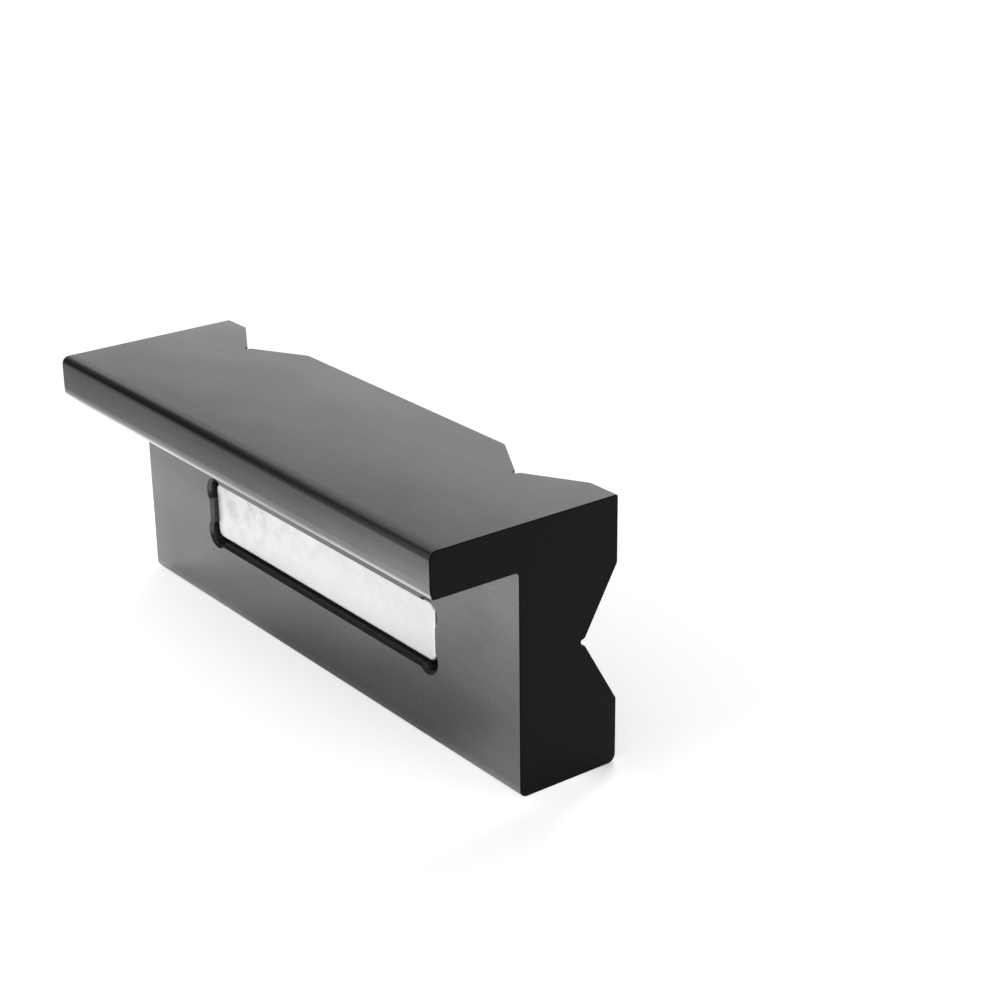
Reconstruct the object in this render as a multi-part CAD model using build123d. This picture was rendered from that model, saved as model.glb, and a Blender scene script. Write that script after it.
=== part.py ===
from build123d import *

import math
import os

# Slip-on vise jaw. A black anodised aluminium bar hooks over a vise's own jaw by its top
# flange and is held there by a bar magnet in its back. V-grooves in the gripping face
# hold round stock lengthwise and upright.
# +X runs along the jaw, +Y out of its gripping face and +Z up. The origin is in the middle
# of the whole outline, on the plane that the jaw stands on. Sizes are in millimetres.

# Bar
JAW_LENGTH = 100.0
JAW_HEIGHT = 40.5
BODY_DEPTH = 16.9
FLANGE_OVERHANG = 14.3
FLANGE_THICKNESS = 6.8

# Rounded edges along the bar
TOP_FRONT_RADIUS = 0.4
BOTTOM_FRONT_RADIUS = 1.3
BOTTOM_BACK_RADIUS = 1.2
FLANGE_TOP_RADIUS = 1.2
FLANGE_LOWER_RADIUS = 0.5
STEP_RADIUS = 0.5
END_EDGE_BREAK = 0.15

# The flange's outer face leans in at its lower edge, over this height above the underside
FLANGE_LEAN_HEIGHT = 1.25
FLANGE_LEAN_ANGLE = 15.0
FLANGE_LEAN_RADIUS = 4.0

# V-grooves in the gripping face
GROOVE_ANGLE = 120.0
LONG_GROOVE_MOUTH = 21.0
LONG_GROOVE_LEVEL = 20.35
CROSS_GROOVE_MOUTH = 20.0
CROSS_GROOVE_END_LAND = 5.0

# Relief slot along the root of each groove
RELIEF_MOUTH = 1.25
RELIEF_FLOOR = 0.7
RELIEF_DEPTH = 0.7

# Bar magnet
MAGNET_LENGTH = 59.4
MAGNET_HEIGHT = 9.4
MAGNET_THICKNESS = 5.0
MAGNET_CORNER_RADIUS = 1.4
MAGNET_EDGE_RADIUS = 0.4

# Magnet's pocket in the back face
POCKET_LEVEL = 16.6
POCKET_EDGE_BREAK = 0.5
MAGNET_RECESS = 1.05
MAGNET_END_CLEARANCE = 0.5
MAGNET_SIDE_CLEARANCE = 0.2
POCKET_CUTTER_RADIUS = 2.0

# The corners are opened out by the cutter, set in from both sides by this share of its
# radius, so that its round passes through the pocket's square corner.
CORNER_INSET_SHARE = 0.7

# Share of the clearances by which the magnet lies off centre, towards -X and +Z
MAGNET_SLIP_SHARE = 0.9

# How far a cutter starts outside the metal
CUTTER_RUN_OUT = 1.0

# Planes of the bar
FRONT_Y = (FLANGE_OVERHANG + BODY_DEPTH) / 2
BACK_Y = FRONT_Y - BODY_DEPTH
FLANGE_Y = BACK_Y - FLANGE_OVERHANG
FLANGE_UNDERSIDE_Z = JAW_HEIGHT - FLANGE_THICKNESS
FLANGE_LEAN_REACH = FLANGE_LEAN_HEIGHT * math.tan(math.radians(FLANGE_LEAN_ANGLE))
GROOVE_SLOPE = math.tan(math.radians(90 - GROOVE_ANGLE / 2))


def bar_section():
    """Section of the bar, an upside-down L with rounded corners."""
    corners = [
        (BACK_Y, 0),
        (FRONT_Y, 0),
        (FRONT_Y, JAW_HEIGHT),
        (FLANGE_Y, JAW_HEIGHT),
        (FLANGE_Y, FLANGE_UNDERSIDE_Z + FLANGE_LEAN_HEIGHT),
        (FLANGE_Y + FLANGE_LEAN_REACH, FLANGE_UNDERSIDE_Z),
        (BACK_Y, FLANGE_UNDERSIDE_Z),
    ]
    radii = [
        BOTTOM_BACK_RADIUS,
        BOTTOM_FRONT_RADIUS,
        TOP_FRONT_RADIUS,
        FLANGE_TOP_RADIUS,
        FLANGE_LEAN_RADIUS,
        FLANGE_LOWER_RADIUS,
        STEP_RADIUS,
    ]
    with BuildSketch(Plane.YZ) as section:
        with BuildLine():
            FilletPolyline(*corners, radius=radii, close=True)
        make_face()
    return section.sketch


def groove_section(plane, mouth):
    """Section of a V-groove, its mouth centred on the plane's origin, cut towards local +y."""
    half_mouth = mouth / 2
    wall_depth = (half_mouth - RELIEF_MOUTH / 2) * GROOVE_SLOPE
    root_depth = wall_depth + RELIEF_DEPTH
    half_outline = [
        (half_mouth, -CUTTER_RUN_OUT),
        (half_mouth, 0),
        (RELIEF_MOUTH / 2, wall_depth),
        (RELIEF_FLOOR / 2, root_depth),
    ]
    mirrored = [(-across, depth) for across, depth in reversed(half_outline)]
    with BuildSketch(plane) as section:
        with BuildLine():
            Polyline(*half_outline, *mirrored, close=True)
        make_face()
    return section.sketch


def long_groove():
    """Metal taken out by the groove along the whole jaw."""
    plane = Plane(origin=(0, FRONT_Y, LONG_GROOVE_LEVEL), x_dir=(0, 0, 1), z_dir=(1, 0, 0))
    reach = JAW_LENGTH / 2 + CUTTER_RUN_OUT
    return extrude(groove_section(plane, LONG_GROOVE_MOUTH), amount=reach, both=True)


def cross_groove(middle_x):
    """Metal taken out by one upright groove, over the whole height of the jaw."""
    plane = Plane(origin=(middle_x, FRONT_Y, JAW_HEIGHT / 2), x_dir=(1, 0, 0), z_dir=(0, 0, -1))
    reach = JAW_HEIGHT / 2 + CUTTER_RUN_OUT
    return extrude(groove_section(plane, CROSS_GROOVE_MOUTH), amount=reach, both=True)


def pocket_floor(middle_x, middle_z):
    """Plane of the pocket's floor, which faces out of the back of the jaw."""
    floor_y = BACK_Y + MAGNET_RECESS + MAGNET_THICKNESS
    return Plane(origin=(middle_x, floor_y, middle_z), x_dir=(1, 0, 0), z_dir=(0, -1, 0))


def magnet_pocket():
    """Metal taken out for the magnet, with the corners opened out by the cutter."""
    length = MAGNET_LENGTH + 2 * MAGNET_END_CLEARANCE
    height = MAGNET_HEIGHT + 2 * MAGNET_SIDE_CLEARANCE
    corner_inset = POCKET_CUTTER_RADIUS * CORNER_INSET_SHARE
    with BuildSketch(pocket_floor(0, POCKET_LEVEL)) as outline:
        Rectangle(length, height)
        with GridLocations(length - 2 * corner_inset, height - 2 * corner_inset, 2, 2):
            Circle(POCKET_CUTTER_RADIUS)
    return extrude(outline.sketch, amount=MAGNET_THICKNESS + MAGNET_RECESS + CUTTER_RUN_OUT)


def blank_with_pocket():
    """The bar with its end edges broken, and the pocket with its mouth broken."""
    bar = extrude(bar_section(), amount=JAW_LENGTH / 2, both=True)
    end_faces = bar.faces().filter_by(Axis.X)
    bar = chamfer(end_faces.edges(), END_EDGE_BREAK)
    bar -= magnet_pocket()
    faces_with_a_hole = bar.faces().filter_by(lambda face: len(face.inner_wires()) > 0)
    pocket_mouth = faces_with_a_hole[0].inner_wires()[0]
    return chamfer(pocket_mouth.edges(), POCKET_EDGE_BREAK)


def jaw_body():
    """The blank with its gripping face cut, one groove lengthwise and two upright."""
    cross_groove_x = JAW_LENGTH / 2 - CROSS_GROOVE_END_LAND - CROSS_GROOVE_MOUTH / 2
    body = blank_with_pocket() - long_groove()
    for side in (-1, 1):
        body -= cross_groove(side * cross_groove_x)
    return body


def magnet_bar():
    """The nickel-plated magnet, face to face with the pocket's floor and off centre in it."""
    middle_x = -MAGNET_END_CLEARANCE * MAGNET_SLIP_SHARE
    middle_z = POCKET_LEVEL + MAGNET_SIDE_CLEARANCE * MAGNET_SLIP_SHARE
    with BuildSketch(pocket_floor(middle_x, middle_z)) as outline:
        RectangleRounded(MAGNET_LENGTH, MAGNET_HEIGHT, MAGNET_CORNER_RADIUS)
    bar = extrude(outline.sketch, amount=MAGNET_THICKNESS)
    broad_faces = bar.faces().filter_by(Axis.Y)
    return fillet(broad_faces.edges(), MAGNET_EDGE_RADIUS)


os.makedirs("parts", exist_ok=True)
export_step(jaw_body(), "parts/jaw_body.step")
export_step(magnet_bar(), "parts/magnet_bar.step")
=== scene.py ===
import bpy
from mathutils import Matrix, Vector

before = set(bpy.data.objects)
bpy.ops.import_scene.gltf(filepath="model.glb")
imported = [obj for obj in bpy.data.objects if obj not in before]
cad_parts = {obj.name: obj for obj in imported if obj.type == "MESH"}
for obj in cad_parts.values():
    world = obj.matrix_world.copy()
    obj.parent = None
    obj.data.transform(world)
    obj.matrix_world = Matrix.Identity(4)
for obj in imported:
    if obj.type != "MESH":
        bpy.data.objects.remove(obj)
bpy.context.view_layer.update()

# Jaw body: one aluminium bar, dyed black by anodising. Its broad faces are drawn smooth
# along the length, and its ends, grooves and pocket are left as the cutter made them.
# It stands on its own foot.
jaw_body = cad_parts["jaw_body"]
ANODISE_IOR = 1.77


def feed(tree, socket, source):
    """Link the socket to another node's output, or set it to a plain value."""
    if isinstance(source, bpy.types.NodeSocket):
        tree.links.new(source, socket)
    else:
        socket.default_value = source


def maths(tree, operation, first, second=0.0):
    node = tree.nodes.new("ShaderNodeMath")
    node.operation = operation
    feed(tree, node.inputs[0], first)
    feed(tree, node.inputs[1], second)
    return node.outputs[0]


def added(tree, first, second):
    return maths(tree, "ADD", first, second)


def less(tree, first, second):
    return maths(tree, "SUBTRACT", first, second)


def both(tree, first, second):
    return maths(tree, "MULTIPLY", first, second)


def rest_of(tree, share):
    """What a share leaves of 1."""
    return less(tree, 1.0, share)


def over(tree, value, limit):
    """1 where the value is over the limit, else 0."""
    return maths(tree, "GREATER_THAN", value, limit)


def under(tree, value, limit):
    """1 where the value is under the limit, else 0."""
    return maths(tree, "LESS_THAN", value, limit)


def between(tree, value, low, high):
    """1 where the value lies between low and high, else 0."""
    return both(tree, over(tree, value, low), under(tree, value, high))


def away(tree, value, middle):
    """How far a value is from the middle, to either side."""
    return maths(tree, "ABSOLUTE", less(tree, value, middle))


def only(tree, where, factor):
    """The factor where the first value is 1, and no change where it is 0."""
    return added(tree, 1.0, both(tree, where, less(tree, factor, 1.0)))


def ramp(tree, value, low, high, out_low=0.0, out_high=1.0):
    """Soft step from one level to another, over the values between low and high."""
    node = tree.nodes.new("ShaderNodeMapRange")
    node.interpolation_type = "SMOOTHSTEP"
    feed(tree, node.inputs["Value"], value)
    feed(tree, node.inputs["From Min"], low)
    feed(tree, node.inputs["From Max"], high)
    feed(tree, node.inputs["To Min"], out_low)
    feed(tree, node.inputs["To Max"], out_high)
    return node.outputs["Result"]


def follow(tree, pattern, low, high):
    """Level that a noise moves from low to high, over the span that most of a noise has."""
    return ramp(tree, pattern, 0.3, 0.7, low, high)


def grey(tree, level):
    """Neutral colour of the level that a socket carries."""
    node = tree.nodes.new("ShaderNodeCombineColor")
    for channel in node.inputs:
        feed(tree, channel, level)
    return node.outputs[0]


def axes(tree, output):
    """Three sockets with the x, y and z of a vector."""
    node = tree.nodes.new("ShaderNodeSeparateXYZ")
    tree.links.new(output, node.inputs[0])
    return node.outputs


def noise(tree, place, scale, detail, stretch=(1, 1, 1)):
    """Noise over object coordinates, drawn out along an axis by a small stretch value."""
    mapping = tree.nodes.new("ShaderNodeMapping")
    tree.links.new(place, mapping.inputs["Vector"])
    mapping.inputs["Scale"].default_value = stretch
    node = tree.nodes.new("ShaderNodeTexNoise")
    tree.links.new(mapping.outputs[0], node.inputs["Vector"])
    node.inputs["Scale"].default_value = scale
    node.inputs["Detail"].default_value = detail
    return node.outputs["Fac"]


def bump(tree, height, distance, strength, under_it=None):
    node = tree.nodes.new("ShaderNodeBump")
    feed(tree, node.inputs["Height"], height)
    node.inputs["Distance"].default_value = distance
    node.inputs["Strength"].default_value = strength
    if under_it:
        tree.links.new(under_it, node.inputs["Normal"])
    return node.outputs[0]


def new_material(name):
    material = bpy.data.materials.new(name)
    material.use_nodes = True
    tree = material.node_tree
    place = tree.nodes.new("ShaderNodeTexCoord").outputs["Object"]
    return material, tree, tree.nodes["Principled BSDF"], place


# Faces of the bar that carry a painted sheen or shade in their gloss, each with the rounding
# that belongs to it
TOP_Z = 0.0401
FLANGE_Y = -0.0142
BACK_Y = (-0.0018, 0.001)
STEP_Z = 0.034
BEND_Z = 0.0349
FLANGE_MIDDLE_X = 0.008
EDGE_ACROSS = (-0.015, -0.0145, 1.0, 0.0)
EDGE_UPWARD = (0.0396, 0.04)

# Painted sheen and shade in the gloss on those faces, standing in for the reflections that fall
# on them: where a soft step starts and ends in metres, and the level before it and after it
SKIN_GLOSS = 0.94
TOP_ACROSS = (-0.026, 0.026, 0.22, 1.68)
TOP_LEFT_END = (-0.046, -0.024, 0.2, 0.0)
EDGE_ALONG = (-0.02, 0.055, 0.55, 4.0)
FLANGE_LOWER_EDGE = (0.034, 0.0348, 4.4, 1.0)
FLANGE_UPWARD = (0.035, 0.0402, 1.12, 0.55)
FROM_BEND = (0.0001, 0.0005, 0.8, 1.0)
FROM_MIDDLE = (0.008, 0.034, 0.7, 1.0)
BACK_RIGHT_END = (0.041, 0.046, 1.0, 1.08)
BACK_LOWER_EDGE = (0.0013, 0.002, 1.35, 1.0)
PAINTED_FLANGE_SHADE_UPWARD = (0.0155, 0.021)
PAINTED_FLANGE_SHADE_ALONG = (-0.03, 0.03, 0.22, 0.06)
LEFT_END = (-0.05, -0.043, 1.22, 1.0)


def painted_sheen_by_face(tree, place):
    """Painted sheen and shade in the gloss of the skin, standing in for its reflections: a
    painted shade along the top's back edge and under the flange, and a painted sheen at the left
    end and along the lower edges."""
    x, y, z = axes(tree, place)
    on_top = over(tree, z, TOP_Z)
    on_flange = both(tree, under(tree, y, FLANGE_Y), under(tree, z, TOP_Z))
    on_edge = both(tree, ramp(tree, y, *EDGE_ACROSS), ramp(tree, z, *EDGE_UPWARD))
    on_back = both(tree, between(tree, y, *BACK_Y), under(tree, z, STEP_Z))
    top = added(tree, ramp(tree, y, *TOP_ACROSS), ramp(tree, x, *TOP_LEFT_END))
    flange = both(tree, ramp(tree, z, *FLANGE_LOWER_EDGE), ramp(tree, z, *FLANGE_UPWARD))
    flange = both(tree, flange, ramp(tree, away(tree, z, BEND_Z), *FROM_BEND))
    flange = both(tree, flange, ramp(tree, away(tree, x, FLANGE_MIDDLE_X), *FROM_MIDDLE))
    # Painted shade on the back face under the flange, strongest towards the left.
    painted_flange_shade = both(tree, ramp(tree, z, *PAINTED_FLANGE_SHADE_UPWARD), ramp(tree, x, *PAINTED_FLANGE_SHADE_ALONG))
    back = less(tree, ramp(tree, x, *BACK_RIGHT_END), painted_flange_shade)
    back = both(tree, back, ramp(tree, z, *BACK_LOWER_EDGE))
    level = both(tree, only(tree, on_top, top), only(tree, on_flange, flange))
    level = both(tree, level, only(tree, on_edge, ramp(tree, x, *EDGE_ALONG)))
    level = both(tree, level, only(tree, on_back, back))
    return both(tree, level, ramp(tree, x, *LEFT_END))


# The roll-off of the top, measured by y and z added up, and the height that it starts at
ROLL_OFF = (0.0249, 0.0273)
ROLL_OFF_Z = 0.0385


def rolled_edge(tree, place):
    """Height of the top, which rolls off a little before its rounded back edge."""
    x, y, z = axes(tree, place)
    near_edge = ramp(tree, added(tree, y, z), *ROLL_OFF)
    near_edge = both(tree, near_edge, over(tree, z, ROLL_OFF_Z))
    return maths(tree, "MAXIMUM", near_edge, over(tree, y, BACK_Y[0]))


def drawn_skin():
    """Satin black skin of the drawn bar: faint clouds, and fine lines along its length."""
    material, tree, shader, place = new_material("drawn_skin")
    clouds = noise(tree, place, scale=130, detail=6, stretch=(0.6, 1, 1))
    lines = noise(tree, place, scale=1300, detail=2, stretch=(0.03, 1, 1))
    grain = noise(tree, place, scale=2200, detail=2)
    cloudy = follow(tree, clouds, 0.94, 1.04)
    lined = both(tree, follow(tree, lines, 0.965, 1.035), follow(tree, grain, 0.95, 1.05))
    # The gloss carries a painted sheen and shade by face, over the skin's own clouds and lines.
    by_face = both(tree, painted_sheen_by_face(tree, place), SKIN_GLOSS)
    gloss = both(tree, by_face, both(tree, cloudy, lined))
    feed(tree, shader.inputs["Specular IOR Level"], gloss)
    shader.inputs["IOR"].default_value = ANODISE_IOR
    feed(tree, shader.inputs["Base Color"], grey(tree, follow(tree, clouds, 0.007, 0.01)))
    feed(tree, shader.inputs["Roughness"], follow(tree, clouds, 0.3, 0.26))
    finish = bump(tree, rolled_edge(tree, place), distance=0.0002, strength=1.0)
    finish = bump(tree, clouds, distance=0.0003, strength=0.08, under_it=finish)
    finish = bump(tree, lines, distance=0.00001, strength=0.3, under_it=finish)
    finish = bump(tree, grain, distance=0.00001, strength=0.2, under_it=finish)
    feed(tree, shader.inputs["Normal"], finish)
    return material


# Shift that brings the middle of the saw's arcs to the pattern's own middle
SAW_ARCS_SHIFT = (0, 0.05, 0.06)


def sawn_end():
    """Matt black of the ends and the reliefs, with the faint arcs of the saw."""
    material, tree, shader, place = new_material("sawn_end")
    grain = noise(tree, place, scale=1500, detail=3)
    arcs = tree.nodes.new("ShaderNodeTexWave")
    arcs.wave_type = "RINGS"
    arcs.rings_direction = "X"
    arcs.inputs["Scale"].default_value = 220
    arcs.inputs["Distortion"].default_value = 0.7
    arcs.inputs["Detail"].default_value = 3
    arcs.inputs["Detail Scale"].default_value = 2
    moved = tree.nodes.new("ShaderNodeMapping")
    moved.inputs["Location"].default_value = SAW_ARCS_SHIFT
    tree.links.new(place, moved.inputs["Vector"])
    tree.links.new(moved.outputs[0], arcs.inputs["Vector"])
    shader.inputs["IOR"].default_value = ANODISE_IOR
    shader.inputs["Specular IOR Level"].default_value = 0.04
    feed(tree, shader.inputs["Base Color"], grey(tree, follow(tree, grain, 0.002, 0.0045)))
    feed(tree, shader.inputs["Roughness"], follow(tree, grain, 0.42, 0.56))
    finish = bump(tree, arcs.outputs["Fac"], distance=0.00003, strength=0.25)
    finish = bump(tree, grain, distance=0.00001, strength=0.25, under_it=finish)
    feed(tree, shader.inputs["Normal"], finish)
    return material


# Step inward from the pocket's walls, which carry a painted light against the shade in the
# pocket, to those of the grooves
PAINTED_POCKET_LIGHT = (0.006, 0.009, 4.0, 1.0)


def milled_wall():
    """Milled walls of the V-grooves and the pocket, with the close upright marks of the cutter,
    and a painted light that lifts the pocket's walls out of their shade."""
    material, tree, shader, place = new_material("milled_wall")
    x, y, z = axes(tree, place)
    marks = noise(tree, place, scale=1900, detail=3, stretch=(1, 1, 0.02))
    grain = noise(tree, place, scale=2600, detail=2)
    shader.inputs["IOR"].default_value = ANODISE_IOR
    shader.inputs["Specular IOR Level"].default_value = 0.3
    # Painted light: the pocket's walls are made up to four times lighter than the grooves'
    # walls.
    black = both(tree, ramp(tree, y, *PAINTED_POCKET_LIGHT), follow(tree, marks, 0.005, 0.009))
    feed(tree, shader.inputs["Base Color"], grey(tree, black))
    feed(tree, shader.inputs["Roughness"], follow(tree, marks, 0.3, 0.42))
    finish = bump(tree, marks, distance=0.00005, strength=0.45)
    finish = bump(tree, grain, distance=0.00001, strength=0.3, under_it=finish)
    feed(tree, shader.inputs["Normal"], finish)
    return material


def pocket_rim():
    """The pocket's broken edge, with the short marks of the cutter across it."""
    material, tree, shader, place = new_material("pocket_rim")
    marks = noise(tree, place, scale=1500, detail=2, stretch=(1, 0.3, 1))
    shader.inputs["IOR"].default_value = ANODISE_IOR
    shader.inputs["Specular IOR Level"].default_value = 0.6
    feed(tree, shader.inputs["Base Color"], grey(tree, follow(tree, marks, 0.005, 0.01)))
    feed(tree, shader.inputs["Roughness"], follow(tree, marks, 0.3, 0.45))
    feed(tree, shader.inputs["Normal"], bump(tree, marks, distance=0.0001, strength=0.3))
    return material


# What tells the faces of the bar apart, by place and by the share of their normal
END_X = 0.0495
END_NORMAL = 0.6
RELIEF_Y = 0.0103
RELIEF_NORMAL = 0.2
GROOVE_Y = 0.0146
GROOVE_WALL_NORMAL = (0.8, 0.95)
POCKET_X = (-0.033, 0.033)
POCKET_Z = (0.0095, 0.0237)
POCKET_Y = (-0.0007, 0.0055)
POCKET_RIM_Y = (-0.00128, -0.0007)


def finish_by_face(tree):
    """Gives the sawn ends and reliefs slot 1, the walls of the grooves and the pocket slot 2,
    and the broken edge round the pocket slot 3."""
    tree.interface.new_socket("Geometry", in_out="INPUT", socket_type="NodeSocketGeometry")
    tree.interface.new_socket("Geometry", in_out="OUTPUT", socket_type="NodeSocketGeometry")
    bar = tree.nodes.new("NodeGroupInput").outputs[0]
    normal = axes(tree, tree.nodes.new("GeometryNodeInputNormal").outputs[0])
    x, y, z = axes(tree, tree.nodes.new("GeometryNodeInputPosition").outputs[0])
    at_end = over(tree, maths(tree, "ABSOLUTE", x), END_X)
    ends = both(tree, at_end, over(tree, maths(tree, "ABSOLUTE", normal[0]), END_NORMAL))
    reliefs = both(tree, over(tree, normal[1], RELIEF_NORMAL), under(tree, y, RELIEF_Y))
    grooves = both(tree, between(tree, normal[1], *GROOVE_WALL_NORMAL), under(tree, y, GROOVE_Y))
    round_pocket = both(tree, between(tree, x, *POCKET_X), between(tree, z, *POCKET_Z))
    pocket = both(tree, round_pocket, between(tree, y, *POCKET_Y))
    rim = both(tree, round_pocket, between(tree, y, *POCKET_RIM_Y))
    sawn = maths(tree, "MAXIMUM", ends, reliefs)
    walls = maths(tree, "MAXIMUM", grooves, pocket)
    for slot, chosen in ((1, sawn), (2, walls), (3, rim)):
        setting = tree.nodes.new("GeometryNodeSetMaterialIndex")
        tree.links.new(bar, setting.inputs["Geometry"])
        feed(tree, setting.inputs["Selection"], chosen)
        setting.inputs["Material Index"].default_value = slot
        bar = setting.outputs["Geometry"]
    tree.links.new(bar, tree.nodes.new("NodeGroupOutput").inputs[0])


jaw_body.data.materials[0] = drawn_skin()
jaw_body.data.materials.append(sawn_end())
jaw_body.data.materials.append(milled_wall())
jaw_body.data.materials.append(pocket_rim())
finishes = bpy.data.node_groups.new("finish_by_face", "GeometryNodeTree")
finish_by_face(finishes)
jaw_body.modifiers.new("finish_by_face", "NODES").node_group = finishes

# Magnet bar: a sintered magnet with bright nickel plate, let into the pocket of the back
# face and lightly scuffed by the vise it has been on.
magnet_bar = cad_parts["magnet_bar"]

# Where the smudges gather, and how much they take off the plate
SMUDGES_ALONG = (-0.03, 0.004, 1.0, 0.25)
SMUDGES_UPWARD = (0.0125, 0.02, 0.25, 1.0)
SMUDGE_SHARE = 0.2

# Painted shade and light on the plate, standing in for its reflections: darker towards the left,
# lighter again at its left end, and darker upward
PAINTED_PLATE_SHADE_ALONG = (-0.027, 0.0, 0.86, 1.0)
PAINTED_PLATE_LIGHT_LEFT_END = (-0.0296, -0.0262, 1.16, 1.0)
PAINTED_PLATE_SHADE_UPWARD = (0.0155, 0.0215, 1.0, 0.9)


def nickel_plate():
    """Matt nickel plate, a little mottled, with grey smudges towards its upper left corner, and
    a painted shade and light by place along and up the bar.
    """
    material, tree, shader, place = new_material("nickel_plate")
    x, y, z = axes(tree, place)
    mottle = noise(tree, place, scale=800, detail=6)
    smudges = noise(tree, place, scale=420, detail=8)
    specks = noise(tree, place, scale=1300, detail=3, stretch=(1, 1, 0.6))
    hairlines = noise(tree, place, scale=1500, detail=2, stretch=(1, 1, 0.1))
    corner = both(tree, ramp(tree, x, *SMUDGES_ALONG), ramp(tree, z, *SMUDGES_UPWARD))
    smudged = both(tree, both(tree, corner, ramp(tree, smudges, 0.4, 0.66)), SMUDGE_SHARE)
    worn = both(tree, follow(tree, mottle, 0.97, 1.0), rest_of(tree, smudged))
    worn = both(tree, worn, ramp(tree, specks, 0.6, 0.7, 1.0, 0.95))
    # Painted shade and light by place on the plate, along the bar and upward.
    along = both(tree, ramp(tree, x, *PAINTED_PLATE_SHADE_ALONG), ramp(tree, x, *PAINTED_PLATE_LIGHT_LEFT_END))
    plate = both(tree, worn, both(tree, along, ramp(tree, z, *PAINTED_PLATE_SHADE_UPWARD)))
    feed(tree, shader.inputs["Base Color"], grey(tree, plate))
    shader.inputs["Metallic"].default_value = 0.9
    feed(tree, shader.inputs["Roughness"], follow(tree, mottle, 0.37, 0.44))
    finish = bump(tree, mottle, distance=0.00003, strength=0.1)
    finish = bump(tree, hairlines, distance=0.00001, strength=0.08, under_it=finish)
    feed(tree, shader.inputs["Normal"], finish)
    return material


magnet_bar.data.materials[0] = nickel_plate()

# Floor: a white table that the jaw stands on, with the soft shadow round its foot. In a
# gloss it is shaded far out from the back face, lighter in a band and a spot nearer by,
# and dark in the core of the shadow.
FLOOR_SIZE = 6.0
FLOOR_WHITE = 0.9

# The patches in the gloss, in metres on the floor. The shade's edge runs aslant across it,
# and the band lies along that edge.
SHADE_SLANT = 0.25
SHADE_EDGE = (-0.0815, -0.0715, 0.41, 1.0)
BAND_OUTER_EDGE = (-0.0715, -0.06)
BAND_INNER_EDGE = (-0.037, -0.031, 1.0, 0.0)
CORE_MIDDLE_X = 0.007
CORE_ALONG = (0.016, 0.037, 0.82, 0.0)
CORE_ACROSS = (-0.021, -0.01)
SPOT_PLACE = (-0.012, -0.021, 0)
SPOT_EDGE = (0.006, 0.022)
GLOSS_LIFT = 0.45
BAND_LIFT = 0.35
SPOT_LIFT = 0.18

# How much lighter the camera sees the floor on the jaw's back side and front side, so that
# the shadow stays soft
BACK_SIDE_LIFT = (0.01, 0.045, 0.58, 0.62)
BACK_SIDE_LOSS = (0.047, 0.057, 0.0, 0.2)
FRONT_SIDE_LIFT = (0.05, 0.06, 0.13, 0.22)
SIDES_MEET = (0.007, 0.018)

bpy.ops.mesh.primitive_plane_add(size=FLOOR_SIZE, location=(0, 0, 0))
floor = bpy.context.object
floor.name = "floor"


def seen_floor(tree, x, y):
    """Glow that lightens the floor for the camera, on the jaw's back side and front side."""
    back_side = less(tree, ramp(tree, x, *BACK_SIDE_LIFT), ramp(tree, x, *BACK_SIDE_LOSS))
    back_side = both(tree, back_side, ramp(tree, y, *SIDES_MEET, 1.0, 0.0))
    front_side = both(tree, ramp(tree, x, *FRONT_SIDE_LIFT), ramp(tree, y, *SIDES_MEET))
    return added(tree, back_side, front_side)


def white_table():
    """Plain white, with the shade and the light patches that only a gloss sees."""
    material, tree, shader, place = new_material("white_table")
    path = tree.nodes.new("ShaderNodeLightPath")
    x, y, z = axes(tree, place)
    across = added(tree, both(tree, x, SHADE_SLANT), y)
    shade = ramp(tree, across, *SHADE_EDGE)
    band = both(tree, ramp(tree, across, *BAND_OUTER_EDGE), ramp(tree, y, *BAND_INNER_EDGE))
    core = ramp(tree, away(tree, x, CORE_MIDDLE_X), *CORE_ALONG)
    core = both(tree, core, ramp(tree, y, *CORE_ACROSS))
    from_spot = tree.nodes.new("ShaderNodeVectorMath")
    from_spot.operation = "DISTANCE"
    tree.links.new(place, from_spot.inputs[0])
    from_spot.inputs[1].default_value = SPOT_PLACE
    spot = rest_of(tree, ramp(tree, from_spot.outputs["Value"], *SPOT_EDGE))
    gloss = path.outputs["Is Glossy Ray"]
    shaded = both(tree, gloss, rest_of(tree, shade))
    feed(tree, shader.inputs["Base Color"], grey(tree, less(tree, FLOOR_WHITE, shaded)))
    shader.inputs["Roughness"].default_value = 1.0
    shader.inputs["Specular IOR Level"].default_value = 0.0
    shader.inputs["Emission Color"].default_value = (1, 1, 1, 1)
    glossed = both(tree, both(tree, shade, rest_of(tree, core)), GLOSS_LIFT)
    glossed = added(tree, glossed, both(tree, band, BAND_LIFT))
    glossed = added(tree, glossed, both(tree, spot, SPOT_LIFT))
    seen = both(tree, path.outputs["Is Camera Ray"], seen_floor(tree, x, y))
    feed(tree, shader.inputs["Emission Strength"], added(tree, seen, both(tree, gloss, glossed)))
    return material


floor.data.materials.append(white_table())

# World: soft white light from all round. A gloss sees a white wall on the side of the
# gripping face, and a dark room with a grey far wall on the other, as in a studio.
SOFT_LIGHT = 0.75
DARK_ROOM = 0.03
WHITE_WALL = 0.9
WHITE_WALL_EDGE = (-0.45, 0.4)
WHITE_WALL_UPWARD = (0.1, 0.55, 1.15, 0.85)
FAR_WALL = 0.22
FAR_WALL_EDGE = (-0.75, -0.5)

world = bpy.data.worlds.new("studio")
bpy.context.scene.world = world
world.use_nodes = True


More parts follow.
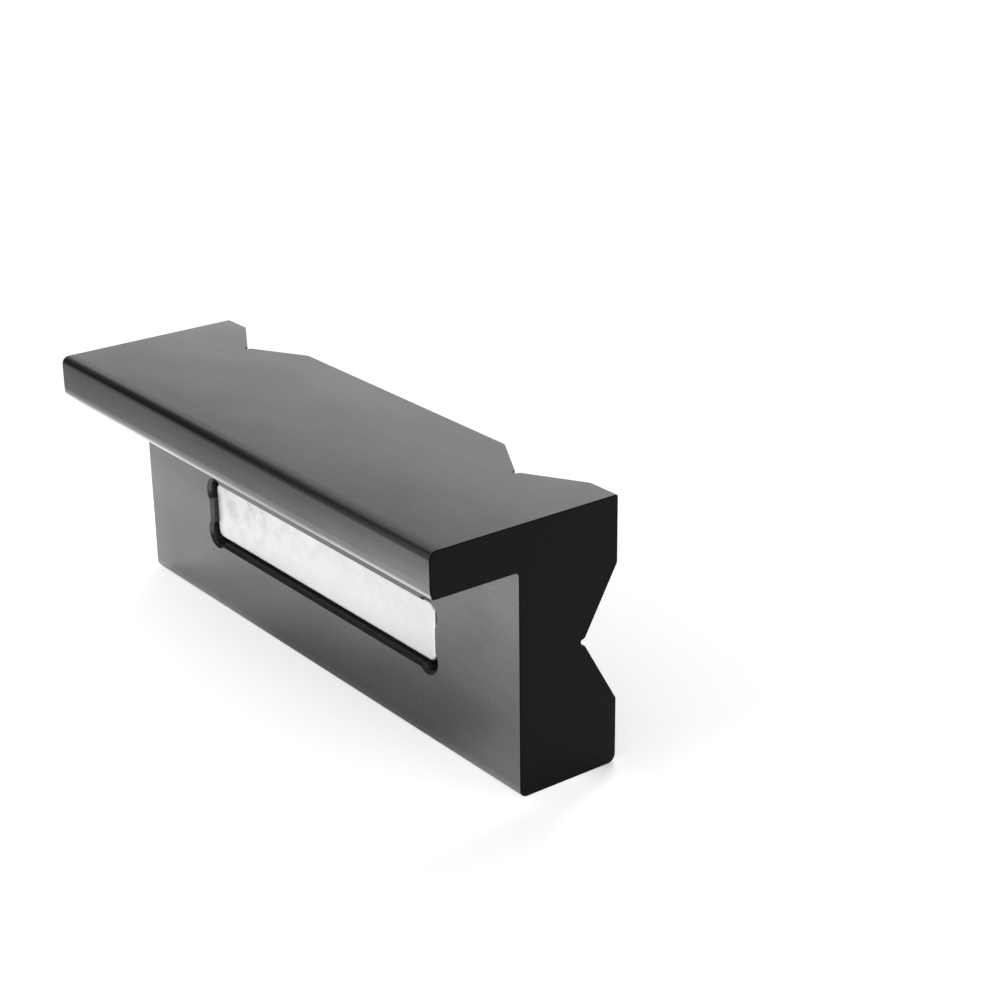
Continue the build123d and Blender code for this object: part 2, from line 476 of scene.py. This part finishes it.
def studio(tree):
    """White to the camera, the room to a gloss, and even soft light to all else."""
    background = tree.nodes["Background"]
    path = tree.nodes.new("ShaderNodeLightPath")
    x, y, z = axes(tree, tree.nodes.new("ShaderNodeTexCoord").outputs["Generated"])
    wall = ramp(tree, y, *WHITE_WALL_EDGE, DARK_ROOM, WHITE_WALL)
    wall = both(tree, wall, ramp(tree, z, *WHITE_WALL_UPWARD))
    wall = added(tree, wall, ramp(tree, y, *FAR_WALL_EDGE, FAR_WALL, 0.0))
    seen = path.outputs["Is Camera Ray"]
    gloss = path.outputs["Is Glossy Ray"]
    other = less(tree, rest_of(tree, seen), gloss)
    strength = added(tree, seen, both(tree, gloss, wall))
    strength = added(tree, strength, both(tree, other, SOFT_LIGHT))
    background.inputs["Color"].default_value = (1, 1, 1, 1)
    feed(tree, background.inputs["Strength"], strength)


studio(world.node_tree)

# Lamp: one soft box, high up on the side of the gripping face and towards the left end.
# It is turned to the jaw, and hidden from its gloss.
LAMP_SIZE = 0.25
LAMP_WATTS = 2.7
LAMP_PLACE = Vector((-0.276, 0.383, 0.766))

lamp = bpy.data.lights.new("soft_box", "AREA")
lamp.shape = "SQUARE"
lamp.size = LAMP_SIZE
lamp.energy = LAMP_WATTS
soft_box = bpy.data.objects.new("soft_box", lamp)
bpy.context.scene.collection.objects.link(soft_box)
soft_box.location = LAMP_PLACE
soft_box.rotation_euler = (-LAMP_PLACE).to_track_quat("-Z", "Y").to_euler()
soft_box.visible_glossy = False

# Camera: at the photograph's angle. Its place, its turn and its lens were worked out from
# the jaw's own edges in the photograph.
CAMERA_PLACE = Vector((0.25289, -0.15939, 0.14925))
CAMERA_DIRECTION = Vector((-0.735405, 0.561964, -0.37865))
CAMERA_RIGHT = Vector((0.610292, 0.792117, -0.009692))
CAMERA_LENS = 77.88
CAMERA_SENSOR = 36.0

lens = bpy.data.cameras.new("camera")
lens.lens = CAMERA_LENS
lens.sensor_width = CAMERA_SENSOR
camera = bpy.data.objects.new("camera", lens)
bpy.context.scene.collection.objects.link(camera)
camera_up = CAMERA_RIGHT.cross(CAMERA_DIRECTION)
turn = Matrix((CAMERA_RIGHT, camera_up, -CAMERA_DIRECTION)).transposed()
camera.matrix_world = Matrix.Translation(CAMERA_PLACE) @ turn.to_4x4()
bpy.context.scene.camera = camera

bpy.context.scene.view_settings.view_transform = "Standard"
